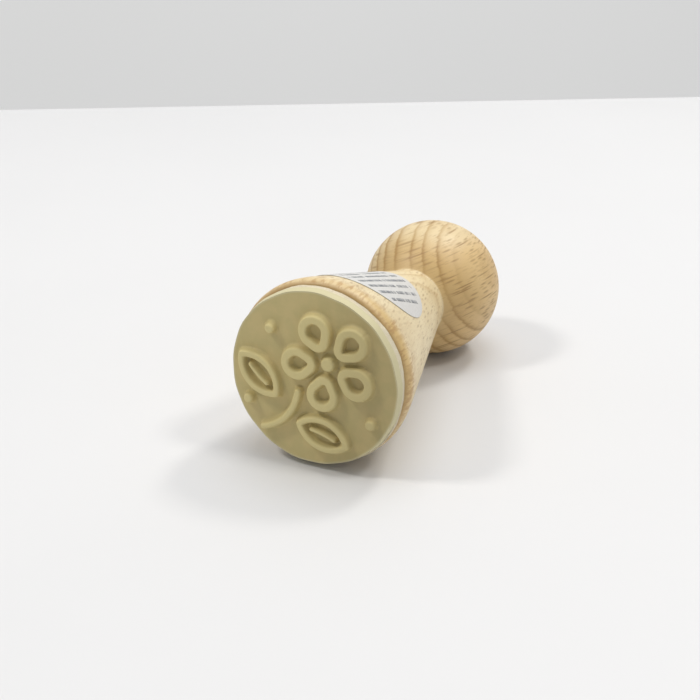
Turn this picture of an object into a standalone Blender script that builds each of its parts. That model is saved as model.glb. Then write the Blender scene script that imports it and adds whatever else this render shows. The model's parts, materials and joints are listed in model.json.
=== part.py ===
"""Round wooden rubber stamp with a ball knob, lying on its side on a table.

A turned beech handle carries a thin sponge cushion on its flat face, and the cushion carries the
moulded rubber die. A round paper label is wrapped on the handle's taper.
Each piece is built round its own turning axis: +Y runs from the printing side to the ball, and
distances along it start at the front of the die's base sheet. One empty then lays the stamp down
so that the bell's rim and the ball both touch the table at z = 0. Units are metres.
"""

import math
from functools import partial

import bmesh
import bpy
from mathutils import Vector

# Sponge cushion behind the die, glued on lower, so that its edge peeps out below
CUSHION_RADIUS = 0.0153
CUSHION_SHIFT = (0.0001, -0.0002)
CUSHION_THICKNESS = 0.0009
SEAT_GAP = 0.0003

# Rubber die, cut a little inside the cushion's edge and wider towards its back
DIE_MARGIN = 0.0003
DIE_SHIFT = (0.0002, 0.0)
DIE_SHEET = 0.00135
CUT_FLARE = 0.00025
RELIEF_HEIGHT = 0.0013
KNIFE_OVERRUN = 0.0010

# The hand-cut edges stray by waves: (waves round the edge, height, phase)
DIE_WAVES = ((3, 0.00006, 0.8), (7, 0.00004, 2.1), (17, 0.00004, 0.5))
CUSHION_WAVES = ((5, 0.00012, -1.1), (17, 0.00003, 2.0))

# Turned handle: flat face, rounded rim, bell, neck and ball
HANDLE_LENGTH = 0.0628
FACE_MARGIN = 0.0001
RIM_BULGE = 0.0008
RIM_DEPTH = 0.0015
SHOULDER_LENGTH = 0.0037
SHOULDER_DROP = 0.0007
TAPER_RADIUS_AT_NECK = 0.0075
NECK_SETBACK = 0.0146
COVE_RADIUS = 0.0006
BALL_RADIUS = 0.0131
TURN_STEPS = 64

# Paper label on the taper
LABEL_RADIUS = 0.0108
LABEL_THICKNESS = 0.00015
LABEL_SETBACK = 0.0165
LABEL_TURN = math.radians(8.5)

# Relief strokes: half of the flat top, and how far each flank spreads down to the sheet
BOLD_HALF_TOP = 0.0006
FINE_HALF_TOP = 0.00042
RIB_HALF_TOP = 0.00025
DOT_HALF_TOP = 0.0007
HEART_HALF_TOP = 0.00105
FLANK_SPREAD = 0.0005
RIB_FLANK_SPREAD = 0.00037
FOOT_ROUND = 0.00015
TOP_ROUND = 0.00015
RELIEF_ROOT = DIE_SHEET / 2

# The design: a five-petalled blossom on a stem with two leaves and three dots, as (x, z) places
BLOSSOM = (0.0033, 0.0035)
PETALS = 5
FIRST_PETAL = math.radians(45)
PETAL_NEAR = 0.0041
PETAL_NEAR_RADIUS = 0.00115
PETAL_FAR = 0.00575
PETAL_FAR_RADIUS = 0.00208
LEAVES = (
    ((-0.0061, -0.0036), (-0.0126, 0.0024)),
    ((-0.0017, -0.0079), (0.0069, -0.0104)),
)
LEAF_BULGE = 0.0024
RIB_SHARE = 0.48
RIB_BOW = 0.00015
STEM = ((-0.0021, -0.0024), (-0.0084, -0.0099))
STEM_BOW = 0.0015
DOTS = ((-0.0074, 0.0078), (-0.0113, -0.0054), (0.0110, -0.0056))
SMALLEST_PIT = 0.00004

# Radii, and places along the turning axis
CUSHION_FRONT = DIE_SHEET + SEAT_GAP
FACE = CUSHION_FRONT + CUSHION_THICKNESS + SEAT_GAP
DIE_RADIUS = CUSHION_RADIUS - DIE_MARGIN
FACE_RADIUS = DIE_RADIUS + FACE_MARGIN
BELL_RADIUS = FACE_RADIUS + RIM_BULGE
CREST = FACE + RIM_DEPTH
TAPER_START = (CREST + SHOULDER_LENGTH, BELL_RADIUS - SHOULDER_DROP)
BALL_CENTRE = FACE + HANDLE_LENGTH - BALL_RADIUS
TAPER_END = (BALL_CENTRE - NECK_SETBACK, TAPER_RADIUS_AT_NECK)
TAPER_SLOPE = (TAPER_START[1] - TAPER_END[1]) / (TAPER_END[0] - TAPER_START[0])
TAPER_ANGLE = math.atan(TAPER_SLOPE)


def clear_scene():
    for obj in list(bpy.data.objects):
        bpy.data.objects.remove(obj, do_unlink=True)


def make_material(name, colour, roughness):
    material = bpy.data.materials.new(name)
    material.use_nodes = True
    shader = material.node_tree.nodes["Principled BSDF"]
    shader.inputs["Base Color"].default_value = (*colour, 1.0)
    shader.inputs["Roughness"].default_value = roughness
    shader.inputs["Metallic"].default_value = 0.0
    return material


def add_object(name, bm, material, parent, smooth_angle=35):
    """Turns a bmesh into a named object that rides on the stamp's axis."""
    mesh = bpy.data.meshes.new(name)
    bmesh.ops.recalc_face_normals(bm, faces=bm.faces[:])
    bm.to_mesh(mesh)
    bm.free()
    mesh.shade_smooth()
    mesh.set_sharp_from_angle(angle=math.radians(smooth_angle))
    if material:
        mesh.materials.append(material)
    obj = bpy.data.objects.new(name, mesh)
    bpy.context.scene.collection.objects.link(obj)
    obj.parent = parent
    return obj


def guide(obj):
    """Marks an object that only shapes another one."""
    obj.hide_render = True
    obj.display_type = "WIRE"
    return obj


def add_boolean(obj, operation, tool, self_meeting=False):
    modifier = obj.modifiers.new(operation.lower(), "BOOLEAN")
    modifier.operation = operation
    modifier.solver = "EXACT"
    modifier.use_self = self_meeting
    modifier.object = tool


def arc(centre, radius, start, end, steps):
    """Points on an arc in a plane, from angle start to angle end."""
    return [
        (
            centre[0] + radius * math.cos(start + (end - start) * i / steps),
            centre[1] + radius * math.sin(start + (end - start) * i / steps),
        )
        for i in range(steps + 1)
    ]


def bridge(bm, loop, following):
    """Joins two loops of equally many vertices with quads."""
    count = len(loop)
    for i in range(count):
        j = (i + 1) % count
        bm.faces.new((loop[i], loop[j], following[j], following[i]))


# Turned handle


def shoulder_points(steps=6):
    """Convex stretch from the rim's crest, level there, to the start of the straight taper."""
    meeting = TAPER_START[0] - SHOULDER_DROP / TAPER_SLOPE
    knots = (
        Vector((CREST, BELL_RADIUS)),
        Vector((meeting, BELL_RADIUS)),
        Vector(TAPER_START),
    )
    points = []
    for i in range(1, steps + 1):
        t = i / steps
        place = knots[0].lerp(knots[1], t).lerp(knots[1].lerp(knots[2], t), t)
        points.append((place.x, place.y))
    return points


def cove_centre():
    """Centre of the hollow round that touches both the taper and the ball."""
    offset = COVE_RADIUS / math.cos(TAPER_ANGLE)
    start = TAPER_START[0]
    level = TAPER_START[1] + offset
    reach = BALL_RADIUS + COVE_RADIUS
    # The centre lies on the taper's parallel and on a circle round the ball's centre
    a = 1 + TAPER_SLOPE**2
    b = -2 * TAPER_SLOPE * (level + TAPER_SLOPE * start) - 2 * BALL_CENTRE
    c = (level + TAPER_SLOPE * start) ** 2 + BALL_CENTRE**2 - reach**2
    along = (-b - math.sqrt(b * b - 4 * a * c)) / (2 * a)
    return along, level - TAPER_SLOPE * (along - start)


def handle_profile():
    """(distance along the axis, radius) from the face's rim to the ball's far end."""
    points = []
    for i in range(6):
        t = math.radians(90) * i / 5
        along = FACE + RIM_DEPTH * (1 - math.cos(t))
        points.append((along, FACE_RADIUS + RIM_BULGE * math.sin(t)))
    points += shoulder_points()
    centre = cove_centre()
    to_ball = math.atan2(-centre[1], BALL_CENTRE - centre[0])
    to_taper = -math.pi / 2 - TAPER_ANGLE
    points += arc(centre, COVE_RADIUS, to_taper, to_ball, 5)
    leaving = to_ball + math.pi
    points += arc((BALL_CENTRE, 0.0), BALL_RADIUS, leaving, 0.0, 19)[1:-1]
    return points


def handle_radius(along):
    """The handle's radius at a distance along the axis."""
    points = handle_profile()
    for (a, low), (b, high) in zip(points, points[1:]):
        if a <= along <= b:
            return low + (high - low) * (along - a) / (b - a)
    return points[0][1]


def turned_ring(bm, along, radius, steps=TURN_STEPS):
    """A ring of vertices with a flat between two of them at the bottom."""
    ring = []
    for i in range(steps):
        angle = 2 * math.pi * (i + 0.5) / steps
        place = (radius * math.sin(angle), along, radius * math.cos(angle))
        ring.append(bm.verts.new(place))
    return ring


def make_handle(parent):
    bm = bmesh.new()
    rings = [turned_ring(bm, along, radius) for along, radius in handle_profile()]
    for ring, following in zip(rings, rings[1:]):
        bridge(bm, ring, following)
    ends = (FACE, BALL_CENTRE + BALL_RADIUS)
    for ring, along in zip((rings[0], rings[-1]), ends):
        pole = bm.verts.new((0.0, along, 0.0))
        for i in range(TURN_STEPS):
            bm.faces.new((ring[i], ring[(i + 1) % TURN_STEPS], pole))
    beech = make_material("beech", (0.66, 0.48, 0.27), 0.55)
    return add_object("handle", bm, beech, parent)


# Die and cushion


def cut_outline(radius, shift, waves, steps=72):
    """A round outline cut by hand, which strays a little from the true circle."""
    points = []
    for i in range(steps):
        angle = 2 * math.pi * i / steps
        local = radius + sum(h * math.sin(count * angle + phase) for count, h, phase in waves)
        points.append((shift[0] + local * math.cos(angle), shift[1] + local * math.sin(angle)))
    return points


def slab(ends, shift, waves):
    """A hand-cut round. Its two ends are given as (place on the axis, radius)."""
    bm = bmesh.new()
    loops = []
    for y, radius in ends:
        loops.append([bm.verts.new((x, y, z)) for x, z in cut_outline(radius, shift, waves)])
    bridge(bm, loops[0], loops[1])
    for loop in loops:
        bm.faces.new(loop)
    return bm


def flared_end(along):
    """A place on the axis, and the radius there of the leaning cut through the die."""
    return along, DIE_RADIUS + CUT_FLARE * along / DIE_SHEET


def make_cushion(parent):
    ends = [(y, CUSHION_RADIUS) for y in (CUSHION_FRONT, CUSHION_FRONT + CUSHION_THICKNESS)]
    bm = slab(ends, CUSHION_SHIFT, CUSHION_WAVES)
    sponge = make_material("sponge", (0.60, 0.53, 0.35), 0.9)
    return add_object("cushion", bm, sponge, parent)


def round_outline(centre, spread, steps=20):
    return arc(centre, spread, 0.0, 2 * math.pi, steps)[:-1]


def petal_outline(heading, spread):
    """An egg round two circles on a line out of the blossom, widened by spread."""
    near = Vector(BLOSSOM) + PETAL_NEAR * Vector((math.cos(heading), math.sin(heading)))
    far = Vector(BLOSSOM) + PETAL_FAR * Vector((math.cos(heading), math.sin(heading)))
    near_radius = max(PETAL_NEAR_RADIUS + spread, SMALLEST_PIT)
    far_radius = max(PETAL_FAR_RADIUS + spread, SMALLEST_PIT)
    lean = math.asin((PETAL_FAR_RADIUS - PETAL_NEAR_RADIUS) / (PETAL_FAR - PETAL_NEAR))
    half = math.pi / 2 + lean
    outline = arc(far, far_radius, heading - half, heading + half, 12)
    outline += arc(near, near_radius, heading + half, heading + 2 * math.pi - half, 6)
    return outline


def leaf_outline(base, tip, spread):
    """Two equal arcs that meet in points, widened by spread."""
    start = Vector(base)
    end = Vector(tip)
    half = (end - start).length / 2
    radius = (half**2 + LEAF_BULGE**2) / (2 * LEAF_BULGE)
    inset = radius - LEAF_BULGE
    heading = math.atan2(end.y - start.y, end.x - start.x)
    outline = []
    for facing in (heading - math.pi / 2, heading + math.pi / 2):
        out = Vector((math.cos(facing), math.sin(facing)))
        centre = (start + end) / 2 - out * inset
        wide = max(radius + spread, inset + SMALLEST_PIT)
        sweep = math.acos(inset / wide)
        outline += arc(centre, wide, facing - sweep, facing + sweep, 12)[:-1]
    return outline


def stroke_outline(start, end, bow, spread):
    """A round-ended stroke along an arc that bows to the left of its way."""
    first = Vector(start)
    last = Vector(end)
    half = (last - first).length / 2
    radius = (half**2 + bow**2) / (2 * bow)
    facing = math.atan2(last.y - first.y, last.x - first.x) + math.pi / 2
    out = Vector((math.cos(facing), math.sin(facing)))
    centre = (first + last) / 2 - out * (radius - bow)
    sweep = math.asin(half / radius)
    low = facing - sweep
    high = facing + sweep
    ends = [centre + radius * Vector((math.cos(a), math.sin(a))) for a in (low, high)]
    outline = arc(centre, radius + spread, low, high, 10)
    outline += arc(ends[1], spread, high, high + math.pi, 6)[1:-1]
    outline += arc(centre, radius - spread, high, low, 10)
    outline += arc(ends[0], spread, low + math.pi, low + 2 * math.pi, 6)[1:-1]
    return outline


def leaf_rib(base, tip):
    """Ends of the short straight rib in the middle of a leaf."""
    start = Vector(base)
    way = Vector(tip) - start
    return start + way * (1 - RIB_SHARE) / 2, start + way * (1 + RIB_SHARE) / 2


def flank(half_top, foot):
    """(spread, place along the axis) from the root in the sheet up to the flat top."""
    wide = half_top + foot
    return (
        (wide, RELIEF_ROOT),
        (wide, 0.0),
        (wide - FOOT_ROUND, -FOOT_ROUND),
        (half_top + TOP_ROUND, TOP_ROUND - RELIEF_HEIGHT),
        (half_top, -RELIEF_HEIGHT),
    )


def relief_loops(bm, outline_at, levels):
    return [[bm.verts.new((x, y, z)) for x, z in outline_at(spread)] for spread, y in levels]


def raise_solid(bm, outline_at, half_top, foot=FLANK_SPREAD):
    """A solid island with sloping flanks and a flat top."""
    loops = relief_loops(bm, outline_at, flank(half_top, foot))
    for loop, following in zip(loops, loops[1:]):
        bridge(bm, loop, following)
    bm.faces.new(loops[0])
    bm.faces.new(loops[-1])


def raise_ridge(bm, outline_at, half_top, foot=FLANK_SPREAD):
    """A closed ridge that follows an outline, with a pit inside it."""
    levels = flank(half_top, foot)
    inner = [(-spread, y) for spread, y in reversed(levels)]
    loops = relief_loops(bm, outline_at, (*levels, *inner))
    for loop, following in zip(loops, loops[1:] + loops[:1]):
        bridge(bm, loop, following)


def make_relief(parent):
    """Every raised part of the design, rooted a little way into the sheet."""
    bm = bmesh.new()
    for i in range(PETALS):
        heading = FIRST_PETAL + 2 * math.pi * i / PETALS
        raise_ridge(bm, partial(petal_outline, heading), BOLD_HALF_TOP)
    raise_solid(bm, partial(round_outline, BLOSSOM), HEART_HALF_TOP)
    for base, tip in LEAVES:
        raise_ridge(bm, partial(leaf_outline, base, tip), FINE_HALF_TOP)
        rib = partial(stroke_outline, *leaf_rib(base, tip), RIB_BOW)
        raise_solid(bm, rib, RIB_HALF_TOP, RIB_FLANK_SPREAD)
    raise_solid(bm, partial(stroke_outline, *STEM, STEM_BOW), FINE_HALF_TOP)
    for place in DOTS:
        raise_solid(bm, partial(round_outline, place), DOT_HALF_TOP)
    return guide(add_object("relief_form", bm, None, parent))


def make_die(parent):
    """A rubber sheet with its relief, cut round through both as with a knife."""
    rubber = make_material("rubber", (0.38, 0.30, 0.15), 0.6)
    uncut = [(along, DIE_RADIUS + KNIFE_OVERRUN) for along in (0.0, DIE_SHEET)]
    die = add_object("die", slab(uncut, DIE_SHIFT, DIE_WAVES), rubber, parent)
    add_boolean(die, "UNION", make_relief(parent), self_meeting=True)
    cut = (-RELIEF_HEIGHT - KNIFE_OVERRUN, DIE_SHEET + KNIFE_OVERRUN)
    knife = slab([flared_end(along) for along in cut], DIE_SHIFT, DIE_WAVES)
    add_boolean(die, "INTERSECT", guide(add_object("knife_form", knife, None, parent)))
    return die


# Paper label


def label_place(x, y, lift):
    """Wraps a point of the flat label onto the taper, by unrolling the taper's cone."""
    apex = TAPER_START[0] + TAPER_START[1] / TAPER_SLOPE
    to_apex = (apex - FACE - LABEL_SETBACK) / math.cos(TAPER_ANGLE)
    slant = math.hypot(to_apex + x, y)
    turn = math.atan2(y, to_apex + x) / math.sin(TAPER_ANGLE) + LABEL_TURN
    along = apex - slant * math.cos(TAPER_ANGLE)
    radius = handle_radius(along) + lift
    return radius * math.sin(turn), along, radius * math.cos(turn)


def make_label(parent, rings=5, steps=36):
    bm = bmesh.new()
    sides = []
    for lift in (SEAT_GAP, SEAT_GAP + LABEL_THICKNESS):
        middle = bm.verts.new(label_place(0.0, 0.0, lift))
        loops = []
        for i in range(1, rings + 1):
            outline = round_outline((0.0, 0.0), LABEL_RADIUS * i / rings, steps)
            loops.append([bm.verts.new(label_place(x, y, lift)) for x, y in outline])
        for j in range(steps):
            bm.faces.new((middle, loops[0][j], loops[0][(j + 1) % steps]))
        for loop, following in zip(loops, loops[1:]):
            bridge(bm, loop, following)
        sides.append(loops[-1])
    bridge(bm, sides[0], sides[1])
    paper = make_material("paper", (0.72, 0.71, 0.68), 0.7)
    return add_object("label", bm, paper, parent)


# Resting pose


def reach_down(place, tilt):
    """How far a (distance, radius) place of the profile reaches down from the level of the origin."""
    along, radius = place
    return along * math.sin(tilt) + radius * math.cos(tilt)


def resting_tilt():
    """The drop of the ball end with both rim and ball on the table, and the origin's height then."""
    flat = math.cos(math.pi / TURN_STEPS)
    profile = [(along, radius * flat) for along, radius in handle_profile()]
    neck = cove_centre()[0]
    bell = [place for place in profile if place[0] < neck]
    ball = [place for place in profile if place[0] > neck]
    tilt = 0.0
    for _ in range(12):
        rim = max(bell, key=lambda place: reach_down(place, tilt))
        knob = max(ball, key=lambda place: reach_down(place, tilt))
        tilt = math.atan2(rim[1] - knob[1], knob[0] - rim[0])
    return tilt, reach_down(rim, tilt)


def lay_down(axis, pieces):
    """Lays the stamp on the table with the middle of its length and width over the origin."""
    tilt, height = resting_tilt()
    axis.rotation_euler = (-tilt, 0.0, 0.0)
    axis.location = (0.0, 0.0, height)
    bpy.context.view_layer.update()
    graph = bpy.context.evaluated_depsgraph_get()
    corners = []
    for piece in pieces:
        shape = piece.evaluated_get(graph)
        corners += [shape.matrix_world @ v.co for v in shape.data.vertices]
    for i in range(2):
        side = [corner[i] for corner in corners]
        axis.location[i] -= (min(side) + max(side)) / 2


def main():
    clear_scene()
    axis = bpy.data.objects.new("stamp_axis", None)
    bpy.context.scene.collection.objects.link(axis)
    pieces = [make_handle(axis), make_cushion(axis), make_die(axis), make_label(axis)]
    lay_down(axis, pieces)


main()
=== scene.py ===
"""Looks of a wooden hand stamp that lies on a pale table.

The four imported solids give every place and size. Each gets a finer piece in its stead: a smooth
turned beech handle, a sponge cushion, a moulded rubber die and a printed paper label. Lengths are
in metres. Pieces are built in the stamp's own frame, with the turning axis along +Y from the
printing side to the ball, the front of the die's sheet at 0, and +Z up when the stamp is level.
"""

import json
import math

import bmesh
import bpy
import numpy as np
from mathutils import Matrix, Vector


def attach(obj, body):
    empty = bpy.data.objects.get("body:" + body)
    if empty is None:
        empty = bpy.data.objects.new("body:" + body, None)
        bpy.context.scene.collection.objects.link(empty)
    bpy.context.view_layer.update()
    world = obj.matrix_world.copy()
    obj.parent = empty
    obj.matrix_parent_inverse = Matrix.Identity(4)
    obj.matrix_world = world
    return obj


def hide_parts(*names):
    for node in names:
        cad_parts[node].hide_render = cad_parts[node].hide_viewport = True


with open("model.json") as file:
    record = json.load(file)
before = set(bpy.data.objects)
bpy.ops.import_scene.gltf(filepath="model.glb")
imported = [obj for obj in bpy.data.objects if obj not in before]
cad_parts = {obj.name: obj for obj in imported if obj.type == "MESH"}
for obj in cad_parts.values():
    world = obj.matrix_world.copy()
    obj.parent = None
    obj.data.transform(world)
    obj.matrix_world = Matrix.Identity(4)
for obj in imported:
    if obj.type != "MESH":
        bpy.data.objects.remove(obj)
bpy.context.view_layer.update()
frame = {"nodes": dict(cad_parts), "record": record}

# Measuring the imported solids: what lies at one place on the axis, and what counts as an outer edge
SAME_LEVEL = 0.00002
EDGE_FROM = 0.96

# Die: thickness of its sheet, and how its face is meshed
DIE_SHEET = 0.00135
FACE_CELLS = 280
SIDE_ROWS = 4
TRIM_START = 0.975
EDGE_STEP = 0.000001

# Strokes of the relief: half of the flat top, and how far the flank runs down to the sheet
BOLD_HALF_TOP = 0.0006
FINE_HALF_TOP = 0.00042
RIB_HALF_TOP = 0.00025
DOT_HALF_TOP = 0.0007
HEART_HALF_TOP = 0.00105
FLANK_SPREAD = 0.0005
RIB_FLANK_SPREAD = 0.00037
# A flank's height at each place between the stroke's top, 0, and its foot, 1
FLANK_SHAPE = ((-0.3, 1.0), (-0.05, 0.99), (0.22, 0.88), (0.72, 0.13), (0.98, 0.02), (1.2, 0.0))
DOT_LENGTH = 0.00002
# Rounds of smoothing: of the relief itself, and of the copy that tells where its pits are
SOFTENING = 3
PIT_SPREAD = 24

# The design: a five-petalled blossom on a stem with two leaves and three dots, as (x, z) places
BLOSSOM = (0.0033, 0.0035)
PETALS = 5
FIRST_PETAL = math.radians(45)
PETAL_NEAR = 0.0041
PETAL_NEAR_RADIUS = 0.00115
PETAL_FAR = 0.00575
PETAL_FAR_RADIUS = 0.00208
LEAVES = (
    ((-0.0061, -0.0036), (-0.0126, 0.0024)),
    ((-0.0017, -0.0079), (0.0069, -0.0104)),
)
LEAF_BULGE = 0.0024
RIB_SHARE = 0.48
RIB_BOW = 0.00015
STEM = ((-0.0021, -0.0024), (-0.0084, -0.0099))
STEM_BOW = 0.0015
DOTS = ((-0.0074, 0.0078), (-0.0113, -0.0054), (0.0110, -0.0056))

# Handle and cushion. The smooth handle is drawn in a little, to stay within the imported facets
TURNED_STEPS = 224
TAPER_POINTS = 24
DRAWN_IN = 0.998
END_DRAWN_IN = 0.00006
GLUE_LINE = 0.00004
CUSHION_INSET = 0.00006
CUSHION_RIPPLE = 0.00003
CUSHION_ROWS = 8
SEAM = 0.000001

# Label: how far its middle lies behind the handle's face, and how it is turned about the axis
LABEL_RADIUS = 0.0108
LABEL_SETBACK = 0.0165
LABEL_TURN = math.radians(8.5)
PAPER_THICKNESS = 0.00008
PAPER_LIFT = 0.00003
EDGE_LIFT = 0.00002
EDGE_CURL = 14

# Print: rows of plain dashes, built from cells that are inked or left bare. A noise with its own
# grain along and across the rows leaves long gaps, and chance leaves out single cells
PRINT_ROWS = 9
ROW_PITCH = 0.00185
DASH_HEIGHT = 0.0007
CELL_LENGTH = 0.00024
PRINT_REACH = 0.0094
PRINT_TURN = math.radians(-5.5)
INK_THICKNESS = 0.000008
DASH_GRAIN = 1100.0
ROW_GRAIN = 7.3
PRINT_SEED = 3.7
RUN_GAPS = 0.37
CELL_GAPS = 0.2

# Wood: the way across the growth rings, turned about the axis from +X towards +Z, and the places of
# the rings' edges along it, in mm from the axis
RING_HEADING = math.radians(25)
RING_PLACES = (-17, -14.4, -12.2, -9.7, -7.3, -5.2, -3.1, -0.4, 2.9, 5.1, 7.5, 9.8, 12.6, 15.0, 17)
EVEN_FROM = 7.0

# Camera, fitted to the photograph together with the lying pose
CAMERA_PLACE = (0.08701, -0.20117, 0.10966)
CAMERA_HEADING = math.radians(25.31)
CAMERA_DROP = math.radians(24.9)
SENSOR_WIDTH = 36.0
CAMERA_LENS = 66.857

# Table: two places on its back edge, as the photograph shows it, and how far it goes from there
TABLE_EDGE = ((-0.2003, 0.1340), (0.0065, 0.2514))
TABLE_REACH = 3.0
WALL_DISTANCE = 0.7
WALL_GLOW = 0.3

# Light: the lamps that throw shadows are a little warm, and the soft light round them a little cool
KEY_TINT = (1.03, 1.0, 0.945)
FILL_TINT = (0.97, 1.0, 1.055)
ROOM_GLOW = 0.36
# Lamps: name, heading and height in degrees, distance, size, power and tint
LAMPS = (
    ("ceiling_light", 0.0, 82.0, 0.9, 0.55, 2.57, FILL_TINT),
    ("left_light", -124.0, 52.5, 0.8, 0.12, 1.69, KEY_TINT),
    ("back_light", 23.0, 56.0, 0.8, 0.12, 1.45, KEY_TINT),
    ("right_light", 86.0, 58.0, 0.7, 0.11, 0.98, KEY_TINT),
)


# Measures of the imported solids


def points_of(node):
    """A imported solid's vertices as rows of x, y and z."""
    mesh = frame["nodes"][node].data
    places = np.empty(len(mesh.vertices) * 3, np.float32)
    mesh.vertices.foreach_get("co", places)
    return places.reshape(-1, 3).astype(float)


def stamp_frame():
    """The stamp's own frame in the world, from the printing face's axis and the turned handle."""
    along = -Vector(frame["record"]["mounts"][0]["axis"]).normalized()
    right = Vector((1.0, 0.0, 0.0))
    up = right.cross(along)
    axes = np.array((right, along, up))
    handle = points_of("handle") @ axes.T
    middle = (handle.min(0) + handle.max(0)) / 2
    sheet_back = (points_of("die") @ axes.T).max(0)[1]
    made = Matrix(axes.T.tolist()).to_4x4()
    made.translation = np.array((middle[0], sheet_back - DIE_SHEET, middle[2])) @ axes
    return made


STAMP = stamp_frame()
TO_STAMP = STAMP.inverted()


def stamp_points(node):
    """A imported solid's vertices in the stamp's own frame."""
    turn = np.array(TO_STAMP.to_3x3())
    return points_of(node) @ turn.T + np.array(TO_STAMP.translation)


def measured_profile():
    """(distance along the axis, radius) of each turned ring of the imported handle."""
    places = stamp_points("handle")
    radii = np.hypot(places[:, 0], places[:, 2])
    snug = DRAWN_IN * places[:, 0].max() / radii.max()
    widest = {}
    for along, radius in zip(places[:, 1].round(6), radii):
        widest[along] = max(radius, widest.get(along, 0.0))
    return [(along, radius * snug) for along, radius in sorted(widest.items()) if radius > 1e-4]


PROFILE = measured_profile()
FACE = PROFILE[0][0]
BALL_END = stamp_points("handle")[:, 1].max() - END_DRAWN_IN
CREST = max(PROFILE, key=lambda ring: ring[1])[0]
RELIEF_HEIGHT = -stamp_points("die")[:, 1].min()
# The taper is the one long straight stretch between two rings
TAPER_START, TAPER_END = max(zip(PROFILE, PROFILE[1:]), key=lambda pair: pair[1][0] - pair[0][0])
TAPER_SLOPE = (TAPER_START[1] - TAPER_END[1]) / (TAPER_END[0] - TAPER_START[0])
TAPER_ANGLE = math.atan(TAPER_SLOPE)
APEX = TAPER_START[0] + TAPER_START[1] / TAPER_SLOPE


def cut_radius(node, angles, along):
    """Radius of a packed slab's hand-cut outline at each angle, at its front or back."""
    places = stamp_points(node)
    level = places[np.abs(places[:, 1] - along) < SAME_LEVEL]
    radii = np.hypot(level[:, 0], level[:, 2])
    edge = radii > EDGE_FROM * radii.max()
    turns = np.arctan2(level[edge, 2], level[edge, 0])
    order = np.argsort(turns)
    return np.interp(angles, turns[order], radii[edge][order], period=2 * math.pi)


# Helpers for meshes


def new_object(name, mesh):
    obj = bpy.data.objects.new(name, mesh)
    bpy.context.scene.collection.objects.link(obj)
    return obj


def mesh_from(name, bm):
    """A mesh with its doubles merged and its faces pointing outwards."""
    bmesh.ops.remove_doubles(bm, verts=bm.verts[:], dist=1e-7)
    bmesh.ops.recalc_face_normals(bm, faces=bm.faces[:])
    mesh = bpy.data.meshes.new(name)
    bm.to_mesh(mesh)
    bm.free()
    mesh.shade_smooth()
    return mesh


def bridge(bm, loop, following):
    count = len(loop)
    for i in range(count):
        j = (i + 1) % count
        bm.faces.new((loop[i], loop[j], following[j], following[i]))


def close_loop(bm, loop, middle):
    """Closes a loop with a fan of triangles round a middle place."""
    pole = bm.verts.new(middle)
    for i in range(len(loop)):
        bm.faces.new((loop[i], loop[(i + 1) % len(loop)], pole))


def grown(host, tree, sizes):
    """The plain mesh that a Geometry Nodes tree makes of its host object with these inputs."""
    modifier = host.modifiers.new(tree.name, "NODES")
    modifier.node_group = tree
    for item in tree.interface.items_tree:
        if item.item_type == "SOCKET" and item.in_out == "INPUT" and item.name in sizes:
            modifier[item.identifier] = sizes[item.name]
    graph = bpy.context.evaluated_depsgraph_get()
    mesh = bpy.data.meshes.new_from_object(host.evaluated_get(graph))
    host.modifiers.remove(modifier)
    return mesh


def finished(name, mesh, slot, *nodes):
    """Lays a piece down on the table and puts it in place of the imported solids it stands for."""
    bm = bmesh.new()
    bm.from_mesh(mesh)
    bmesh.ops.recalc_face_normals(bm, faces=bm.faces[:])
    bm.to_mesh(mesh)
    bm.free()
    mesh.transform(STAMP)
    piece = new_object(name, mesh)
    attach(piece, "root")
    if nodes:
        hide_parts(*nodes)
    return piece


# Helpers for node trees


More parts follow.
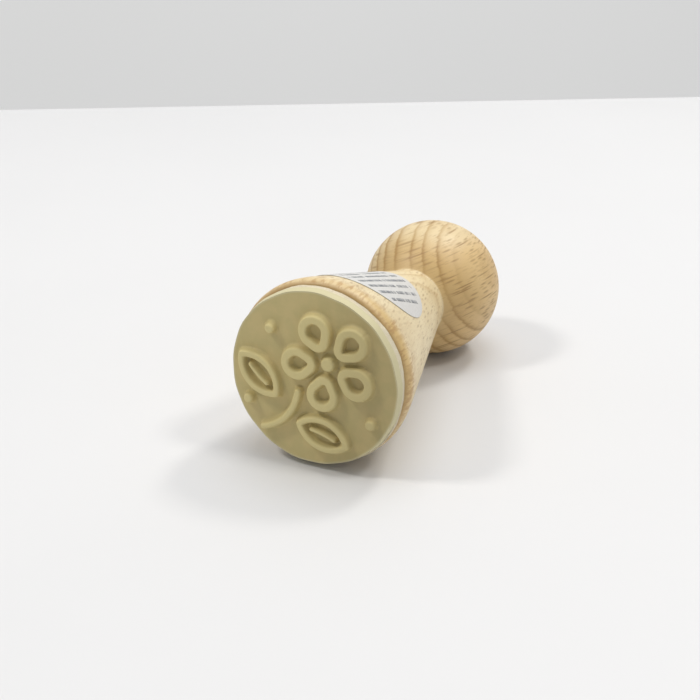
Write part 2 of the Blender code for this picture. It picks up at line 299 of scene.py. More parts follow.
class Nodes:
    """Adds nodes to a tree. Each method returns the socket that carries the result."""

    def __init__(self, tree):
        self.tree = tree

    def add(self, kind, inputs=None, **settings):
        node = self.tree.nodes.new(kind)
        for name, value in settings.items():
            setattr(node, name, value)
        for key, value in (inputs or {}).items():
            self.feed(node.inputs[key], value)
        return node

    def feed(self, socket, value):
        if isinstance(value, bpy.types.NodeSocket):
            self.tree.links.new(value, socket)
        else:
            socket.default_value = value

    def math(self, operation, a, b=0.0, c=0.0, clamp=False):
        inputs = {0: a, 1: b, 2: c}
        return self.add("ShaderNodeMath", inputs, operation=operation, use_clamp=clamp).outputs[0]

    def plus(self, a, b):
        return self.math("ADD", a, b)

    def minus(self, a, b):
        return self.math("SUBTRACT", a, b)

    def times(self, a, b):
        return self.math("MULTIPLY", a, b)

    def over(self, a, b):
        return self.math("DIVIDE", a, b)

    def vector(self, operation, a, b=(0.0, 0.0, 0.0)):
        node = self.add("ShaderNodeVectorMath", {0: a, 1: b}, operation=operation)
        plain = ("DOT_PRODUCT", "LENGTH", "DISTANCE")
        return node.outputs["Value" if operation in plain else "Vector"]

    def parts(self, vector):
        return self.add("ShaderNodeSeparateXYZ", {0: vector}).outputs

    def joined(self, x, y, z):
        return self.add("ShaderNodeCombineXYZ", {0: x, 1: y, 2: z}).outputs[0]

    def ramp(self, value, low, high, start=0.0, end=1.0):
        """Smoothly from start to end while the value goes from low to high."""
        inputs = {"Value": value, "From Min": low, "From Max": high, "To Min": start, "To Max": end}
        return self.add("ShaderNodeMapRange", inputs, interpolation_type="SMOOTHSTEP").outputs[0]

    def curve(self, value, points, straight=False):
        """Follows a curve through (value, result) points."""
        low, high = points[0][0], points[-1][0]
        share = self.over(self.minus(value, low), high - low)
        node = self.add("ShaderNodeFloatCurve", {"Value": share})
        line = node.mapping.curves[0]
        while len(line.points) < len(points):
            line.points.new(0.5, 0.5)
        for point, (place, result) in zip(line.points, points):
            point.location = ((place - low) / (high - low), result)
            point.handle_type = "VECTOR" if straight else "AUTO_CLAMPED"
        node.mapping.update()
        return node.outputs[0]

    def noise(self, place, scale, detail=2.0, rough=0.5):
        inputs = {"Vector": place, "Scale": scale, "Detail": detail, "Roughness": rough}
        return self.add("ShaderNodeTexNoise", inputs).outputs["Fac"]

    def blurred(self, value, rounds):
        inputs = {"Value": value, "Iterations": rounds}
        return self.add("GeometryNodeBlurAttribute", inputs).outputs[0]

    def blend(self, factor, a, b, blend_type="MIX"):
        node = self.add("ShaderNodeMix", data_type="RGBA", blend_type=blend_type)
        for socket, value in zip((node.inputs[0], node.inputs[6], node.inputs[7]), (factor, a, b)):
            self.feed(socket, value)
        return node.outputs[2]


def new_finish(name):
    """A new material, with its nodes and its shader."""
    material = bpy.data.materials.new(name)
    material.use_nodes = True
    return material, Nodes(material.node_tree), material.node_tree.nodes["Principled BSDF"]


def stamp_place(make, heading=0.0):
    """Object coordinates as mm in the stamp's own frame, turned about its axis by a heading."""
    turn = Matrix.Rotation(heading, 3, "Y") @ TO_STAMP.to_3x3()
    shift = turn @ STAMP.translation * -1000
    inputs = {
        "Vector": make.add("ShaderNodeTexCoord").outputs["Object"],
        "Location": shift,
        "Rotation": turn.to_euler(),
        "Scale": (1000, 1000, 1000),
    }
    return make.add("ShaderNodeMapping", inputs).outputs[0]


def new_tree(name, sizes):
    """A Geometry Nodes tree with a geometry input and output and named inputs for its sizes."""
    tree = bpy.data.node_groups.new(name, "GeometryNodeTree")
    tree.interface.new_socket("Geometry", in_out="OUTPUT", socket_type="NodeSocketGeometry")
    tree.interface.new_socket("Geometry", in_out="INPUT", socket_type="NodeSocketGeometry")
    for label, kind in sizes.items():
        tree.interface.new_socket(label, in_out="INPUT", socket_type="NodeSocket" + kind)
    make = Nodes(tree)
    return tree, make, make.add("NodeGroupInput").outputs


def end_tree(make, geometry, material):
    """Every tree ends in plain faces that carry their finish."""
    real = make.add("GeometryNodeRealizeInstances", {0: geometry}).outputs[0]
    smooth = make.add("GeometryNodeSetShadeSmooth", {0: real}).outputs[0]
    painted = make.add("GeometryNodeSetMaterial", {"Geometry": smooth, "Material": material})
    make.add("NodeGroupOutput", {0: painted.outputs[0]})


# Finishes


def ray_flecks(make, place, cell, size, share):
    """Beech rays: thin blades across the rings. Returns how much of a ray is at a place.

    cell is their spacing and size their half size, across the rings, along the grain and level.
    """
    scaled = make.vector("DIVIDE", place, cell)
    rays = make.add("ShaderNodeTexVoronoi", {"Vector": scaled, "Scale": 1.0}).outputs
    away = make.vector("SUBTRACT", scaled, rays["Position"])
    blade = make.vector("MULTIPLY", away, [c / s for c, s in zip(cell, size)])
    depth = make.ramp(make.vector("LENGTH", blade), 1.0, 0.25)
    kept = make.ramp(make.parts(rays["Color"])[0], share, share - 0.25)
    return make.times(depth, kept)


def growth_rings(make, across):
    """How dark the wood is by its growth rings: a sharp edge that fades, and years that differ."""
    last = len(RING_PLACES) - 1
    counted = [(place, i / last) for i, place in enumerate(RING_PLACES)]
    years = make.times(make.curve(across, counted, straight=True), last)
    season = make.math("FRACT", years)
    year = make.math("FLOOR", years)
    tone = make.add("ShaderNodeTexWhiteNoise", {"W": year}, noise_dimensions="1D").outputs["Value"]
    fading = make.ramp(season, 0.62, 0.02)
    edge = make.math("MAXIMUM", make.ramp(season, 0.88, 1.0), make.ramp(season, 0.28, 0.0))
    late = make.plus(make.times(fading, 0.45), make.times(edge, 0.58))
    dark = make.plus(late, make.times(tone, 0.25))
    even = make.ramp(across, EVEN_FROM, EVEN_FROM + 2.5)
    kept = make.times(dark, make.minus(1.0, make.times(even, 0.75)))
    return make.plus(kept, make.times(even, 0.16))


def beech_finish():
    """Pale sanded beech without varnish."""
    material, make, shader = new_finish("beech")
    place = stamp_place(make, RING_HEADING)
    across, along = make.parts(place)[:2]
    slow = make.vector("MULTIPLY", place, (0.10, 0.03, 0.10))
    wander = make.times(make.minus(make.noise(slow, 1.0, 3.0), 0.5), 0.9)
    silk = make.noise(make.vector("MULTIPLY", place, (0.16, 0.22, 1.9)), 1.0, 3.0, 0.6)
    ragged = make.times(make.minus(silk, 0.5), 0.9)
    rings = growth_rings(make, make.plus(across, make.plus(wander, ragged)))

    knob = knob_share(make, along)
    # Painted highlight: the ball's top is kept pale, with its browning and rings faded there, where
    # the light falls on it.
    upright = make.parts(stamp_place(make))[2]
    painted_top_highlight = make.times(make.ramp(upright, 9.0, 12.3), 0.75)
    browned = make.times(knob, make.minus(1.0, painted_top_highlight))
    long_rays = ray_flecks(make, place, (8.0, 2.9, 0.80), (5.0, 1.25, 0.27), 0.75)
    short_rays = ray_flecks(make, place, (3.6, 1.9, 0.50), (2.2, 0.75, 0.11), 0.75)
    flecks = make.math("MAXIMUM", long_rays, make.times(short_rays, 0.6))
    flecks = make.times(flecks, make.plus(0.45, make.times(knob, 0.15)))
    streaks = ray_flecks(make, place, (9.0, 6.0, 0.9), (6.0, 3.2, 0.2), 0.7)
    rays = make.math("MAXIMUM", flecks, make.times(make.times(streaks, knob), 0.75))
    fibres = make.noise(make.vector("MULTIPLY", place, (5.5, 0.35, 5.5)), 1.0, 3.0, 0.6)
    pores = make.ramp(fibres, 0.56, 0.72)
    clouds = make.noise(make.vector("MULTIPLY", place, (0.22, 0.08, 0.22)), 1.0, 3.0)

    normal = make.add("ShaderNodeNewGeometry").outputs["Normal"]
    axis = STAMP.to_3x3() @ Vector((0.0, 1.0, 0.0))
    facing = make.math("ABSOLUTE", make.vector("DOT_PRODUCT", normal, axis))
    end_grain = make.ramp(facing, 0.25, 0.95)

    colour = make.blend(make.ramp(clouds, 0.35, 0.65), (0.82, 0.70, 0.45, 1), (0.75, 0.62, 0.38, 1))
    colour = make.blend(make.times(browned, 0.3), colour, (0.60, 0.40, 0.14, 1))
    # Painted shade: the ball is made darker and more orange towards its right side.
    warm = make.times(browned, make.ramp(across, -6.0, 6.0, 0.0, 0.4))
    colour = make.blend(warm, colour, (0.79, 0.47, 0.14, 1))
    colour = make.blend(make.times(end_grain, 0.8), colour, (0.585, 0.385, 0.14, 1))
    shown_rings = make.times(rings, make.plus(0.4, make.times(browned, 0.6)))
    colour = make.blend(shown_rings, colour, (0.43, 0.26, 0.085, 1))
    colour = make.blend(make.ramp(silk, 0.52, 0.75, 0.0, 0.4), colour, (0.50, 0.31, 0.13, 1))
    colour = make.blend(make.times(pores, 0.3), colour, (0.45, 0.30, 0.15, 1))
    colour = make.blend(rays, colour, (0.31, 0.175, 0.06, 1))
    colour = make.blend(rim_blush_and_shade(make, across, along), colour, (0.64, 0.44, 0.17, 1))
    # Painted shade where the handle's face meets the cushion.
    colour = make.blend(seam_shade(make, along), colour, (0.36, 0.22, 0.10, 1))
    colour = make.blend(rim_scorch(make, place, along), colour, (0.45, 0.26, 0.095, 1))
    make.feed(shader.inputs["Base Color"], colour)

    dull = make.plus(0.46, make.times(pores, 0.15))
    make.feed(shader.inputs["Roughness"], make.plus(dull, make.times(rays, 0.1)))
    dents = make.plus(make.times(fibres, 0.5), make.times(rays, -0.6))
    bump = make.add("ShaderNodeBump", {"Strength": 0.5, "Distance": 0.00004, "Height": dents})
    make.feed(shader.inputs["Normal"], bump.outputs[0])
    shader.inputs["Specular IOR Level"].default_value = 0.55
    return material


def knob_share(make, along):
    """0 on the taper and 1 on the ball, which fingers have browned."""
    neck = TAPER_END[0] * 1000
    return make.ramp(along, neck, neck + 3.0)


def rim_blush_and_shade(make, across, along):
    """The warmer tone of the end grain on the rounded rim, with painted shade that makes it
    strongest on the side far across the rings.
    """
    crest = CREST * 1000
    band = make.ramp(along, crest + 2.0, crest - 0.4)
    # Painted shade: the tone deepens towards the side of the rim far across the rings.
    return make.times(band, make.ramp(across, 10.5, 14.5, 0.42, 0.85))


def seam_shade(make, along):
    """Painted shade in the corner between the cushion and the handle's face."""
    face = FACE * 1000
    return make.ramp(along, face + 0.9, face, 0.0, 0.45)


def rim_scorch(make, place, along):
    """The broken brown ticks that the turning tool leaves where the rim's end grain begins."""
    crest = CREST * 1000
    rising = make.ramp(along, crest - 1.6, crest - 1.1)
    band = make.times(rising, make.ramp(along, crest + 3.5, crest + 0.8))
    torn = make.noise(make.vector("MULTIPLY", place, (1.6, 0.3, 1.6)), 1.0, 3.0, 0.6)
    broad = make.noise(make.vector("MULTIPLY", place, (0.35, 0.2, 0.35)), 1.0)
    ticks = make.times(band, make.ramp(torn, 0.46, 0.6))
    return make.times(ticks, make.plus(0.35, make.times(make.ramp(broad, 0.42, 0.6), 0.4)))


def rubber_finish():
    """Moulded olive-tan rubber: paler with painted highlight on the strokes' top faces and painted
    light on the cut side, darker with painted shade in the hollows beside the strokes and towards
    one side.
    """
    material, make, shader = new_finish("rubber")
    place = stamp_place(make)
    height = make.add("ShaderNodeAttribute", attribute_name="relief_height").outputs["Fac"]
    pit = make.add("ShaderNodeAttribute", attribute_name="pit_depth").outputs["Fac"]
    cut = make.add("ShaderNodeAttribute", attribute_name="cut_side").outputs["Fac"]
    clouds = make.noise(place, 0.35, 3.0)
    specks = make.noise(place, 7.0, 2.0, 0.6)
    cloudy = make.ramp(clouds, 0.35, 0.65)
    colour = make.blend(cloudy, (0.545, 0.455, 0.206, 1), (0.595, 0.482, 0.222, 1))
    # Painted highlight: the strokes' top faces are made paler, where the light falls on them.
    painted_lit_tops = make.times(make.ramp(height, 0.5, 1.0), 0.8)
    colour = make.blend(painted_lit_tops, colour, (0.71, 0.605, 0.285, 1))
    # Painted shade: the rubber is made darker towards +X.
    painted_side_shade = make.ramp(make.parts(place)[0], -2.0, 13.0)
    colour = make.blend(painted_side_shade, colour, (0.81, 0.80, 0.79, 1), "MULTIPLY")
    # Painted shade: the sheet is darkened in the hollows beside the strokes.
    pits = make.times(make.ramp(pit, 0.1, 0.5), 0.55)
    colour = make.blend(pits, colour, (0.29, 0.22, 0.09, 1))
    dust = make.times(make.ramp(specks, 0.55, 0.8), 0.12)
    colour = make.blend(dust, colour, (0.30, 0.22, 0.12, 1))
    # Painted light: the cut side and the face's outer edge are made paler, where light falls on them
    # directly.
    colour = make.blend(cut, colour, (0.62, 0.56, 0.34, 1))
    make.feed(shader.inputs["Base Color"], colour)
    grain = make.noise(place, 11.0, 2.0, 0.6)
    make.feed(shader.inputs["Roughness"], make.plus(0.50, make.times(grain, 0.2)))
    heights = make.plus(make.times(grain, 0.5), make.noise(place, 1.6, 2.0))
    bump = make.add("ShaderNodeBump", {"Strength": 0.45, "Distance": 0.00003, "Height": heights})
    make.feed(shader.inputs["Normal"], bump.outputs[0])
    shader.inputs["Specular IOR Level"].default_value = 0.4
    return material


def sponge_finish():
    """Pale cream sponge with fine closed cells."""
    material, make, shader = new_finish("sponge")
    place = stamp_place(make)
    inputs = {"Vector": place, "Scale": 5.5}
    walls = make.add("ShaderNodeTexVoronoi", inputs, feature="DISTANCE_TO_EDGE")
    cells = make.ramp(walls.outputs["Distance"], 0.0, 0.35)
    clouds = make.noise(place, 0.5, 3.0)
    colour = make.blend(make.ramp(clouds, 0.3, 0.7), (0.75, 0.67, 0.49, 1), (0.80, 0.72, 0.54, 1))
    # Painted shade: the hollows of the cells are darkened.
    colour = make.blend(make.times(cells, 0.3), colour, (0.54, 0.44, 0.27, 1))
    make.feed(shader.inputs["Base Color"], colour)
    make.feed(shader.inputs["Roughness"], make.plus(0.80, make.times(clouds, 0.15)))
    bump = make.add("ShaderNodeBump", {"Strength": 0.8, "Distance": 0.00008, "Height": cells})
    bump.invert = True
    make.feed(shader.inputs["Normal"], bump.outputs[0])
    shader.inputs["Specular IOR Level"].default_value = 0.2
    return material


def paper_finish():
    """Coated white paper with a faint fibre and a cut edge."""
    material, make, shader = new_finish("paper")
    place = stamp_place(make)
    fibre = make.noise(make.vector("MULTIPLY", place, (3.0, 1.1, 3.0)), 1.0, 4.0, 0.7)
    pulp = make.ramp(fibre, 0.35, 0.65)
    colour = make.blend(pulp, (0.62, 0.61, 0.585, 1), (0.67, 0.66, 0.635, 1))
    make.feed(shader.inputs["Base Color"], colour)
    make.feed(shader.inputs["Roughness"], make.plus(0.38, make.times(fibre, 0.15)))
    bump = make.add("ShaderNodeBump", {"Strength": 0.3, "Distance": 0.00002, "Height": fibre})
    make.feed(shader.inputs["Normal"], bump.outputs[0])
    return material


def ink_finish():
    """Grey printer's ink that covers the paper unevenly."""
    material, make, shader = new_finish("ink")
    cover = make.noise(stamp_place(make), 4.0, 3.0, 0.6)
    colour = make.blend(make.ramp(cover, 0.35, 0.65), (0.19, 0.20, 0.21, 1), (0.34, 0.35, 0.36, 1))
    make.feed(shader.inputs["Base Color"], colour)
    make.feed(shader.inputs["Roughness"], make.plus(0.45, make.times(cover, 0.2)))
    return material


def table_finish():
    """A pale painted table with a very faint mottle."""
    material, make, shader = new_finish("pale_table")
    place = make.add("ShaderNodeTexCoord").outputs["Object"]
    mottle = make.ramp(make.noise(place, 9.0, 5.0), 0.3, 0.7)
    colour = make.blend(mottle, (0.717, 0.714, 0.713, 1), (0.732, 0.728, 0.727, 1))
    make.feed(shader.inputs["Base Color"], colour)
    shader.inputs["Roughness"].default_value = 0.6
    shader.inputs["Specular IOR Level"].default_value = 0.3
    return material


def wall_finish():
    """The plain light grey wall behind the table."""
    material, make, shader = new_finish("grey_wall")
    place = make.add("ShaderNodeTexCoord").outputs["Object"]
    mottle = make.ramp(make.noise(place, 3.0, 3.0), 0.3, 0.7)
    colour = make.blend(mottle, (0.70, 0.695, 0.68, 1), (0.715, 0.71, 0.695, 1))
    make.feed(shader.inputs["Base Color"], colour)
    shader.inputs["Roughness"].default_value = 0.8
    shader.inputs["Emission Color"].default_value = (1.0, 0.995, 0.975, 1.0)
    shader.inputs["Emission Strength"].default_value = WALL_GLOW
    return material


# Turned handle


def profile_curve():
    """The handle's measured profile as a smooth curve: x is the radius, y the distance."""
    data = bpy.data.curves.new("turning_profile", "CURVE")
    data.dimensions = "3D"
    spline = data.splines.new("BEZIER")
    taper = np.linspace(TAPER_START, TAPER_END, TAPER_POINTS)[1:-1]
    rings = sorted([*PROFILE, *map(tuple, taper)])
    rings = [(FACE, 0.0), *rings, (BALL_END, 0.0)]
    spline.bezier_points.add(len(rings) - 1)
    for point, (along, radius) in zip(spline.bezier_points, rings):
        point.co = (radius, along, 0.0)
        point.handle_left_type = point.handle_right_type = "AUTO"
    spline.resolution_u = 4
    level_ends(spline.bezier_points)
    return new_object("turning_profile", data)


def level_ends(points):
    """The flat face and the ball's far end run square to the axis."""
    ends = ((points[0], points[1], 1), (points[1], points[2], 1), (points[-1], points[-2], -1))
    for point, inward, outward in ends:
        reach = Vector((outward * abs(inward.co.x - point.co.x) / 3, 0.0, 0.0))
        point.handle_left_type = point.handle_right_type = "FREE"
        point.handle_left = point.co - reach
        point.handle_right = point.co + reach


def turned_tree(material):
    """Turns a profile curve round the axis into a closed body."""
    sizes = {"Profile": "Object", "Steps": "Int", "Seam": "Float"}
    tree, make, given = new_tree("turned_body", sizes)
    profile = make.add("GeometryNodeObjectInfo", {"Object": given["Profile"]}).outputs["Geometry"]
    rings = make.add("GeometryNodeCurveToPoints", {"Curve": profile}, mode="EVALUATED")
    count = make.add(
        "GeometryNodeAttributeDomainSize",
        {"Geometry": rings.outputs["Points"]},
        component="POINTCLOUD",
    ).outputs["Point Count"]
    columns = make.plus(given["Steps"], 1)
    inputs = {"Size X": 1.0, "Size Y": 1.0, "Vertices X": count, "Vertices Y": columns}
    grid = make.add("GeometryNodeMeshGrid", inputs).outputs["Mesh"]
    spot = make.parts(make.add("GeometryNodeInputPosition").outputs[0])
    ring = make.times(make.plus(spot[0], 0.5), make.minus(count, 1))
    found = make.add(
        "GeometryNodeSampleIndex",
        {
            "Geometry": rings.outputs["Points"],
            "Value": make.add("GeometryNodeInputPosition").outputs[0],
            "Index": make.math("ROUND", ring),
        },
        data_type="FLOAT_VECTOR",
    ).outputs[0]
    radius, along = make.parts(found)[:2]
    angle = make.times(spot[1], 2 * math.pi)
    x = make.times(radius, make.math("SINE", angle))
    z = make.times(radius, make.math("COSINE", angle))
    turned = make.add(
        "GeometryNodeSetPosition", {"Geometry": grid, "Position": make.joined(x, along, z)}
    ).outputs[0]
    body = make.add(
        "GeometryNodeMergeByDistance", {"Geometry": turned, "Distance": given["Seam"]}
    ).outputs[0]
    end_tree(make, body, material)
    return tree


def make_handle():
    profile = profile_curve()
    host = new_object("handle_host", bpy.data.meshes.new("handle_host"))
    tree = turned_tree(beech_finish())
    mesh = grown(host, tree, {"Profile": profile, "Steps": TURNED_STEPS, "Seam": SEAM})
    for helper in (profile, host):
        bpy.data.objects.remove(helper)
    return finished("turned_handle", mesh, "beech", "handle")


# Cushion and die


def make_cushion():
    """A round of sponge that fills the room between die and handle but for two lines of glue."""
    front = DIE_SHEET + GLUE_LINE
    back = FACE - GLUE_LINE
    angles = np.linspace(0, 2 * math.pi, 360, endpoint=False)
    edge = cut_radius("cushion", angles, stamp_points("cushion")[:, 1].max())
    bm = bmesh.new()
    loops = []
    for i in range(CUSHION_ROWS + 1):
        t = i / CUSHION_ROWS
        tuck = CUSHION_INSET * (0.35 + 0.65 * abs(2 * t - 1) ** 3)
        ripple = CUSHION_RIPPLE * np.sin(9 * angles + 5 * t) * np.sin(31 * angles + 2 * t)
        radii = edge - tuck + ripple
        y = front + (back - front) * t
        places = zip(radii * np.cos(angles), radii * np.sin(angles))
        loops.append([bm.verts.new((x, y, z)) for x, z in places])
    for loop, following in zip(loops, loops[1:]):
        bridge(bm, loop, following)
    close_loop(bm, loops[0], (0.0, front, 0.0))
    close_loop(bm, loops[-1], (0.0, back, 0.0))
    mesh = mesh_from("sponge_cushion", bm)
    mesh.set_sharp_from_angle(angle=math.radians(50))
    mesh.materials.append(sponge_finish())
    return finished("sponge_cushion", mesh, "sponge", "cushion")


def arc(centre, radius, start, end, steps):
    turns = [start + (end - start) * i / steps for i in range(steps + 1)]
    return [(centre[0] + radius * math.cos(a), centre[1] + radius * math.sin(a)) for a in turns]


def petal_line(heading):
    """The middle line of a petal's ridge, an egg round two circles."""
    out = Vector((math.cos(heading), math.sin(heading)))
    near = Vector(BLOSSOM) + PETAL_NEAR * out
    far = Vector(BLOSSOM) + PETAL_FAR * out
    lean = math.asin((PETAL_FAR_RADIUS - PETAL_NEAR_RADIUS) / (PETAL_FAR - PETAL_NEAR))
    half = math.pi / 2 + lean
    line = arc(far, PETAL_FAR_RADIUS, heading - half, heading + half, 32)
    line += arc(near, PETAL_NEAR_RADIUS, heading + half, heading + 2 * math.pi - half, 16)
    return line + line[:1]


def bowed_line(start, end, bow, steps=24):
    """An arc from start to end that bows to the left of its way."""
    first = Vector(start)
    last = Vector(end)
    half = (last - first).length / 2
    radius = (half**2 + bow**2) / (2 * bow)
    facing = math.atan2(last.y - first.y, last.x - first.x) + math.pi / 2
    centre = (first + last) / 2 - Vector((math.cos(facing), math.sin(facing))) * (radius - bow)
    sweep = math.asin(half / radius)
    return arc(centre, radius, facing + sweep, facing - sweep, steps)


def leaf_line(base, tip):
    """Two bowed lines that meet in points."""
    return bowed_line(base, tip, LEAF_BULGE) + bowed_line(tip, base, LEAF_BULGE)


def leaf_rib(base, tip):
    start = Vector(base)
    way = Vector(tip) - start
    ends = start + way * (1 - RIB_SHARE) / 2, start + way * (1 + RIB_SHARE) / 2
    return bowed_line(*ends, RIB_BOW)


def dot_line(place):
    return [(place[0] - DOT_LENGTH / 2, place[1]), (place[0] + DOT_LENGTH / 2, place[1])]


def relief_strokes():
    """Each kind of stroke: (name, middle lines, half of the flat top, spread of the flank)."""
    headings = [FIRST_PETAL + 2 * math.pi * i / PETALS for i in range(PETALS)]
    leaves = [leaf_line(*leaf) for leaf in LEAVES]
    ribs = [leaf_rib(*leaf) for leaf in LEAVES]
    dots = [dot_line(place) for place in DOTS]
    return (
        ("petals", [petal_line(h) for h in headings], BOLD_HALF_TOP, FLANK_SPREAD),
        ("heart", [dot_line(BLOSSOM)], HEART_HALF_TOP, FLANK_SPREAD),
        ("leaves", [*leaves, bowed_line(*STEM, STEM_BOW)], FINE_HALF_TOP, FLANK_SPREAD),
        ("ribs", ribs, RIB_HALF_TOP, RIB_FLANK_SPREAD),
        ("dots", dots, DOT_HALF_TOP, FLANK_SPREAD),
    )


def guide_lines(name, lines):
    """Middle lines of strokes as edges that a tree can measure from."""
    bm = bmesh.new()
    for line in lines:
        corners = [bm.verts.new((x, 0.0, z)) for x, z in line]
        for corner, following in zip(corners, corners[1:]):
            bm.edges.new((corner, following))
    mesh = bpy.data.meshes.new(name)
    bm.to_mesh(mesh)
    bm.free()
    return new_object(name, mesh)


def disc_place(i, j):
    """Where a cell corner of a square grid comes to lie on a round of radius 1."""
    a = 2 * i / FACE_CELLS - 1
    b = 2 * j / FACE_CELLS - 1
    if a == b == 0:
        return 0.0, 0.0
    if abs(a) > abs(b):
        return a, math.pi / 4 * b / a
    return b, math.pi / 2 - math.pi / 4 * a / b


def die_blank():
    """The bare sheet, with a finely meshed front face and hand-cut sides."""
    count = FACE_CELLS + 1
    shares, angles = np.array([disc_place(i, j) for i in range(count) for j in range(count)]).T
    angles = np.where(shares < 0, angles + math.pi, angles)
    radii = np.abs(shares) * cut_radius("die", angles, 0.0)
    bm = bmesh.new()
    side = bm.verts.layers.float.new("cut_side")
    spots = zip(radii * np.cos(angles), radii * np.sin(angles))
    front = [bm.verts.new((x, 0.0, z)) for x, z in spots]
    for corner, share in zip(front, np.abs(shares)):
        corner[side] = max(0.0, (share - TRIM_START) / (1 - TRIM_START))
    for i in range(FACE_CELLS):
        for j in range(FACE_CELLS):
            k = i * count + j
            bm.faces.new((front[k], front[k + count], front[k + count + 1], front[k + 1]))
    add_cut_side(bm, rim_loop(front, count), side)
    return mesh_from("die_blank", bm)


def rim_loop(corners, count):
    """The outermost corners of the grid in order round the edge."""
    last = count - 1
    bottom = [corners[i * count] for i in range(last)]
    right = [corners[last * count + j] for j in range(last)]
    top = [corners[i * count + last] for i in range(last, 0, -1)]
    left = [corners[j] for j in range(last, 0, -1)]
    return bottom + right + top + left


def add_cut_side(bm, rim, side):
    """The sheet's side, which widens to the back and stands apart from the front's crisp edge."""
    turns = np.array([math.atan2(corner.co.z, corner.co.x) for corner in rim])
    flare = cut_radius("die", turns, DIE_SHEET) / cut_radius("die", turns, 0.0)
    loops = []
    for row in range(SIDE_ROWS + 1):
        share = row / SIDE_ROWS
        y = EDGE_STEP + (DIE_SHEET - EDGE_STEP) * share
        wider = 1 + (flare - 1) * share
        loops.append([bm.verts.new((v.co.x * w, y, v.co.z * w)) for v, w in zip(rim, wider)])
        for vert in loops[-1]:
            vert[side] = 1.0
    bridge(bm, rim, loops[0])
    for loop, following in zip(loops, loops[1:]):
        bridge(bm, loop, following)
    close_loop(bm, loops[-1], (0.0, DIE_SHEET, 0.0))
    for loop in (rim, loops[0], loops[-1]):
        for i in range(len(loop)):
            edge = bm.edges.get((loop[i], loop[(i + 1) % len(loop)]))
            edge.smooth = False


def relief_tree(strokes, material):
    """Raises rounded ridges on a flat face wherever it lies near a stroke's middle line."""
    sizes = {"Relief Height": "Float", "Softening": "Int", "Spread": "Int"}
    for name, _, _, _ in strokes:
        sizes[name + " lines"] = "Object"
        sizes[name + " half top"] = "Float"
        sizes[name + " flank"] = "Float"
    tree, make, given = new_tree("moulded_relief", sizes)
    flat = None
    for name, _, _, _ in strokes:
        lines = make.add("GeometryNodeObjectInfo", {"Object": given[name + " lines"]})
        inputs = {"Geometry": lines.outputs["Geometry"]}
        near = make.add("GeometryNodeProximity", inputs, target_element="EDGES")
        past_top = make.minus(near.outputs["Distance"], given[name + " half top"])
        height = make.curve(make.over(past_top, given[name + " flank"]), FLANK_SHAPE)
        bare = make.minus(1.0, height)
        flat = make.times(flat, bare) if flat else bare
    raised = make.minus(1.0, flat)
    soft = make.blurred(raised, given["Softening"])
    wide = make.blurred(raised, given["Spread"])
    spot = make.parts(make.add("GeometryNodeInputPosition").outputs[0])
    front = make.math("LESS_THAN", spot[1], EDGE_STEP / 2)
    height = make.times(soft, front)
    pit = make.times(make.minus(wide, soft), front)
    held = given["Geometry"]
    for name, value in (("relief_height", height), ("pit_depth", pit)):
        held = make.add(
            "GeometryNodeStoreNamedAttribute",
            {"Geometry": held, "Name": name, "Value": value},
            data_type="FLOAT",
            domain="POINT",
        ).outputs[0]
    kept = make.add("GeometryNodeInputNamedAttribute", {"Name": "relief_height"}, data_type="FLOAT")
    rise = make.times(kept.outputs[0], make.times(given["Relief Height"], -1.0))
    moulded = make.add(
        "GeometryNodeSetPosition", {"Geometry": held, "Offset": make.joined(0.0, rise, 0.0)}
    ).outputs[0]
    end_tree(make, moulded, material)
    return tree


def make_die():
    strokes = relief_strokes()
    sizes = {"Relief Height": RELIEF_HEIGHT, "Softening": SOFTENING, "Spread": PIT_SPREAD}
    guides = []
    for name, lines, half_top, flank in strokes:
        guides.append(guide_lines(name, lines))
        sizes[name + " lines"] = guides[-1]
        sizes[name + " half top"] = half_top
        sizes[name + " flank"] = flank
    host = new_object("die_host", die_blank())
    mesh = grown(host, relief_tree(strokes, rubber_finish()), sizes)
    for helper in (*guides, host):
        bpy.data.objects.remove(helper)
    return finished("moulded_die", mesh, "rubber", "die")


# Label


def on_taper(x, y, lift):
    """Wraps a point of the flat label onto the taper, by unrolling the taper's cone."""
    to_apex = (APEX - FACE - LABEL_SETBACK) / math.cos(TAPER_ANGLE)
    slant = math.hypot(to_apex + x, y)
    turn = math.atan2(y, to_apex + x) / math.sin(TAPER_ANGLE) + LABEL_TURN
    radius = slant * math.sin(TAPER_ANGLE) + lift
    return radius * math.sin(turn), APEX - slant * math.cos(TAPER_ANGLE), radius * math.cos(turn)


def make_label(rings=30, steps=144):
    """A round of paper that hugs the taper and comes loose a little at its edge."""
    bm = bmesh.new()
    sheets = []
    for thickness in (0.0, PAPER_THICKNESS):
        middle = on_taper(0.0, 0.0, PAPER_LIFT + thickness)
        loops = []
        for i in range(1, rings + 1):
            share = i / rings
            lift = PAPER_LIFT + thickness + EDGE_LIFT * share**EDGE_CURL
            outline = arc((0.0, 0.0), LABEL_RADIUS * share, 0.0, 2 * math.pi, steps)[:-1]
            loops.append([bm.verts.new(on_taper(x, y, lift)) for x, y in outline])
        close_loop(bm, loops[0], middle)
        for loop, following in zip(loops, loops[1:]):
            bridge(bm, loop, following)
        sheets.append(loops[-1])
    bridge(bm, sheets[0], sheets[1])
    mesh = mesh_from("paper_label", bm)
    mesh.set_sharp_from_angle(angle=math.radians(60))
    mesh.materials.append(paper_finish())
    return finished("paper_label", mesh, "paper", "label")


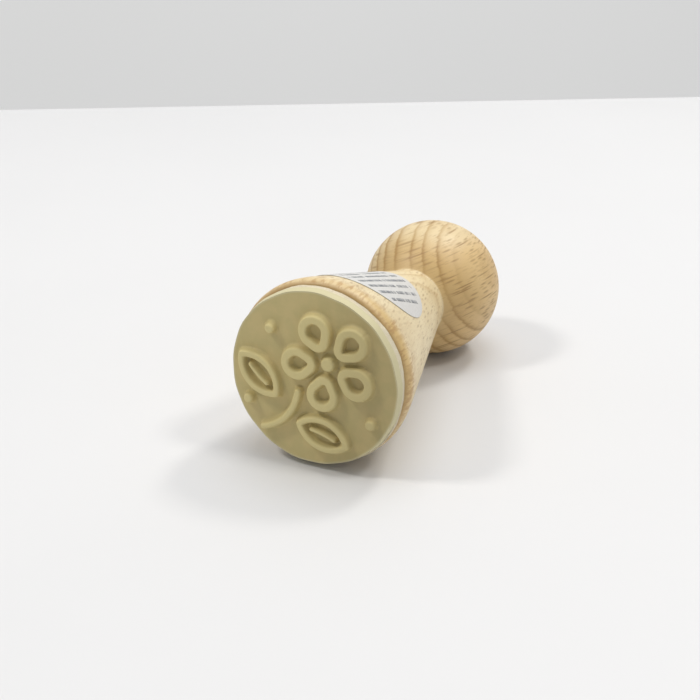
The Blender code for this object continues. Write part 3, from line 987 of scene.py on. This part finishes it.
def print_tree(material):
    """Rows of dashes of uneven length, cut off by a round, and wrapped onto the taper."""
    sizes = {
        "Rows": "Int",
        "Row Pitch": "Float",
        "Cell Length": "Float",
        "Dash Height": "Float",
        "Ink Thickness": "Float",
        "Reach": "Float",
        "Print Turn": "Float",
        "Lift": "Float",
        "To Apex": "Float",
        "Apex": "Float",
        "Taper Angle": "Float",
        "Label Turn": "Float",
    }
    tree, make, given = new_tree("printed_rows", sizes)
    cells = make.math("ROUND", make.over(make.times(given["Reach"], 2.0), given["Cell Length"]))
    grid = make.add(
        "GeometryNodeMeshGrid",
        {
            "Size X": make.times(make.minus(cells, 1.0), given["Cell Length"]),
            "Size Y": make.times(make.minus(given["Rows"], 1.0), given["Row Pitch"]),
            "Vertices X": cells,
            "Vertices Y": given["Rows"],
        },
    ).outputs["Mesh"]
    place = make.add("GeometryNodeInputPosition").outputs[0]
    spot = make.parts(place)
    inside = make.math("LESS_THAN", make.vector("LENGTH", place), given["Reach"])
    step = make.times(spot[0], DASH_GRAIN)
    row = make.times(spot[1], ROW_GRAIN / ROW_PITCH)
    runs = make.noise(make.joined(step, row, PRINT_SEED), 1.0, 1.0)
    index = {"W": make.add("GeometryNodeInputIndex").outputs[0]}
    luck = make.add("ShaderNodeTexWhiteNoise", index, noise_dimensions="1D").outputs["Value"]
    inked = make.times(inside, make.math("GREATER_THAN", runs, RUN_GAPS))
    inked = make.times(inked, make.math("GREATER_THAN", luck, CELL_GAPS))
    size = make.joined(given["Cell Length"], given["Dash Height"], given["Ink Thickness"])
    dash = make.add("GeometryNodeMeshCube", {"Size": size}).outputs["Mesh"]
    dashes = make.add(
        "GeometryNodeInstanceOnPoints", {"Points": grid, "Selection": inked, "Instance": dash}
    ).outputs[0]
    real = make.add("GeometryNodeRealizeInstances", {0: dashes}).outputs[0]
    turned = make.add(
        "GeometryNodeTransform",
        {"Geometry": real, "Rotation": make.joined(0.0, 0.0, given["Print Turn"])},
    ).outputs[0]
    end_tree(make, wrapped(make, turned, given), material)
    return tree


def wrapped(make, flat, given):
    """Moves flat geometry onto the taper's cone, z becoming the height above it."""
    spot = make.parts(make.add("GeometryNodeInputPosition").outputs[0])
    ahead = make.plus(spot[0], given["To Apex"])
    squares = make.plus(make.times(ahead, ahead), make.times(spot[1], spot[1]))
    slant = make.math("SQRT", squares)
    sine = make.math("SINE", given["Taper Angle"])
    turn = make.over(make.math("ARCTAN2", spot[1], ahead), sine)
    turn = make.plus(turn, given["Label Turn"])
    radius = make.plus(make.times(slant, sine), make.plus(spot[2], given["Lift"]))
    along = make.minus(given["Apex"], make.times(slant, make.math("COSINE", given["Taper Angle"])))
    x = make.times(radius, make.math("SINE", turn))
    z = make.times(radius, make.math("COSINE", turn))
    inputs = {"Geometry": flat, "Position": make.joined(x, along, z)}
    return make.add("GeometryNodeSetPosition", inputs).outputs[0]


def make_print():
    host = new_object("print_host", bpy.data.meshes.new("print_host"))
    sizes = {
        "Rows": PRINT_ROWS,
        "Row Pitch": ROW_PITCH,
        "Cell Length": CELL_LENGTH,
        "Dash Height": DASH_HEIGHT,
        "Ink Thickness": INK_THICKNESS,
        "Reach": PRINT_REACH,
        "Print Turn": PRINT_TURN,
        "Lift": PAPER_LIFT + PAPER_THICKNESS + INK_THICKNESS,
        "To Apex": (APEX - FACE - LABEL_SETBACK) / math.cos(TAPER_ANGLE),
        "Apex": APEX,
        "Taper Angle": TAPER_ANGLE,
        "Label Turn": LABEL_TURN,
    }
    mesh = grown(host, print_tree(ink_finish()), sizes)
    bpy.data.objects.remove(host)
    return finished("label_print", mesh, "paper")


# Table, wall, light and camera


def flat_sheet(name, corners, material):
    mesh = bpy.data.meshes.new(name)
    mesh.from_pydata(corners, [], [tuple(range(len(corners)))])
    mesh.materials.append(material)
    sheet = new_object(name, mesh)
    return sheet


def make_room():
    """A pale table that ends behind the stamp, and a grey wall some way behind it."""
    left = Vector((*TABLE_EDGE[0], 0.0))
    edge = (Vector((*TABLE_EDGE[1], 0.0)) - left).normalized() * TABLE_REACH
    front = Vector((edge.y, -edge.x, 0.0))
    table = [left - edge, left + edge, left + edge + front, left - edge + front]
    flat_sheet("table", table, table_finish())
    foot = left - front.normalized() * WALL_DISTANCE
    height = Vector((0.0, 0.0, TABLE_REACH / 2))
    wall = [foot - edge - height, foot + edge - height, foot + edge + height, foot - edge + height]
    flat_sheet("wall", wall, wall_finish())


def add_lamp(name, heading, height, distance, size, power, tint):
    """A square soft lamp that looks at the stamp. Heading 0 is +Y, and 90 degrees is +X."""
    lamp = bpy.data.lights.new(name, "AREA")
    lamp.size = size
    lamp.energy = power
    lamp.color = tint
    turn = math.radians(heading)
    rise = math.radians(height)
    level = math.cos(rise)
    way = Vector((math.sin(turn) * level, math.cos(turn) * level, math.sin(rise)))
    obj = new_object(name, lamp)
    obj.location = way * distance
    obj.rotation_euler = way.to_track_quat("Z", "Y").to_euler()


def light_room():
    for lamp in LAMPS:
        add_lamp(*lamp)
    world = bpy.data.worlds.new("pale_room")
    world.use_nodes = True
    background = world.node_tree.nodes["Background"]
    background.inputs["Color"].default_value = (*FILL_TINT, 1.0)
    background.inputs["Strength"].default_value = ROOM_GLOW
    bpy.context.scene.world = world
    bpy.context.scene.view_settings.view_transform = "Standard"


def set_camera():
    data = bpy.data.cameras.new("camera")
    data.sensor_width = SENSOR_WIDTH
    data.lens = CAMERA_LENS
    data.clip_start = 0.01
    camera = new_object("camera", data)
    camera.location = CAMERA_PLACE
    camera.rotation_euler = (math.pi / 2 - CAMERA_DROP, 0.0, CAMERA_HEADING)
    bpy.context.scene.camera = camera


set_camera()
make_handle()
make_cushion()
make_die()
make_label()
make_print()
make_room()
light_room()
